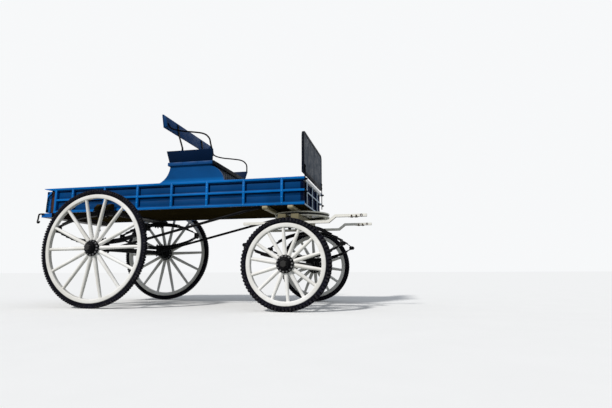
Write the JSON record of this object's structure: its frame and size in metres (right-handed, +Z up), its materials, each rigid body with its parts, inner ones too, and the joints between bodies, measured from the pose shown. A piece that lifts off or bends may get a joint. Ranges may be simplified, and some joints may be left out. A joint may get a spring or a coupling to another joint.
{
  "type": "farm wagon",
  "caption": "Sprung farm wagon with spoked wheels, steered front gear, a blue box body, dash, driver's seat with back and a drop tailgate.",
  "frame": {"origin": "on the ground under the middle of the wagon's length and width", "axes": "+X towards the shafts, +Y to the wagon's left, +Z up"},
  "size_m": [3.71, 1.638, 2.0453],
  "materials": {
    "underside_wood": "dark oiled boards",
    "panel_paint": "dark blue paint on boards",
    "rail_paint": "bright blue gloss paint on timber",
    "batten_paint": "grey blue paint on timber",
    "black_iron": "black painted wrought iron",
    "cream_paint": "cream gloss paint on timber",
    "cream_iron": "cream paint on iron",
    "dark_wood": "dark brown stained blocks",
    "black_paint": "black paint on boards",
    "tyre": "worn black rubber"
  },
  "bodies": {
    "wagon": {"floor": "underside_wood", "side_panels": "panel_paint", "side_frames": "rail_paint", "front_panel": "panel_paint", "front_frame": "batten_paint", "rear_posts": "black_iron", "rear_step": "rail_paint", "tail_hooks": "black_iron", "tailgate_knuckles": "black_iron", "cross_sills": "cream_paint", "rear_cross_iron": "black_iron", "spring_pads": "dark_wood", "rear_axle": "black_iron", "rear_springs": "black_iron", "rear_shackles": "black_iron", "rear_spring_seats": "black_iron", "axle_braces": "black_iron", "upper_turntable": "cream_iron", "dash": "black_paint", "dash_irons": "black_iron", "seat_risers": "rail_paint", "seat_board": "rail_paint", "seat_front": "black_paint", "seat_sides": "panel_paint", "backboard": "panel_paint", "back_posts": "black_iron", "arm_rails": "black_iron"},
    "front_gear": {"lower_turntable": "cream_iron", "front_beams": "cream_paint", "shaft_bars": "cream_paint", "jaw_bolts": "black_iron", "front_axle": "black_iron", "front_springs": "black_iron", "front_spring_seats": "black_iron"},
    "tailgate": {"tailgate": "panel_paint", "tailgate_frame": "rail_paint", "tailgate_straps": "black_iron"},
    "wheel_rear_right": {"tyre_rear_right": "tyre", "felloe_rear_right": "cream_paint", "spokes_rear_right": "cream_paint", "hub_rear_right": "black_iron"},
    "wheel_rear_left": {"tyre_rear_left": "tyre", "felloe_rear_left": "cream_paint", "spokes_rear_left": "cream_paint", "hub_rear_left": "black_iron"},
    "wheel_front_right": {"tyre_front_right": "tyre", "felloe_front_right": "cream_paint", "spokes_front_right": "cream_paint", "hub_front_right": "black_iron"},
    "wheel_front_left": {"tyre_front_left": "tyre", "felloe_front_left": "cream_paint", "spokes_front_left": "cream_paint", "hub_front_left": "black_iron"}
  },
  "joints": [
    {"name": "wheel_rear_right_spin", "type": "hinge", "parent": "wagon", "child": "wheel_rear_right", "pos_m": [-0.925, -0.717, 0.608], "axis": [0, 1, 0], "continuous": true},
    {"name": "wheel_rear_left_spin", "type": "hinge", "parent": "wagon", "child": "wheel_rear_left", "pos_m": [-0.925, 0.717, 0.608], "axis": [0, 1, 0], "continuous": true},
    {"name": "wheel_front_right_spin", "type": "hinge", "parent": "front_gear", "child": "wheel_front_right", "pos_m": [1.12, -0.717, 0.432], "axis": [0, 1, 0], "continuous": true},
    {"name": "wheel_front_left_spin", "type": "hinge", "parent": "front_gear", "child": "wheel_front_left", "pos_m": [1.12, 0.717, 0.432], "axis": [0, 1, 0], "continuous": true},
    {"name": "steering", "type": "hinge", "parent": "wagon", "child": "front_gear", "pos_m": [1.12, 0, 0.96], "axis": [0, 0, 1], "range_deg": [-80, 80]},
    {"name": "tailgate_hinge", "type": "hinge", "parent": "wagon", "child": "tailgate", "pos_m": [-1.76, 0, 1.031], "axis": [0, -1, 0], "range_deg": [0, 90]}
  ]
}
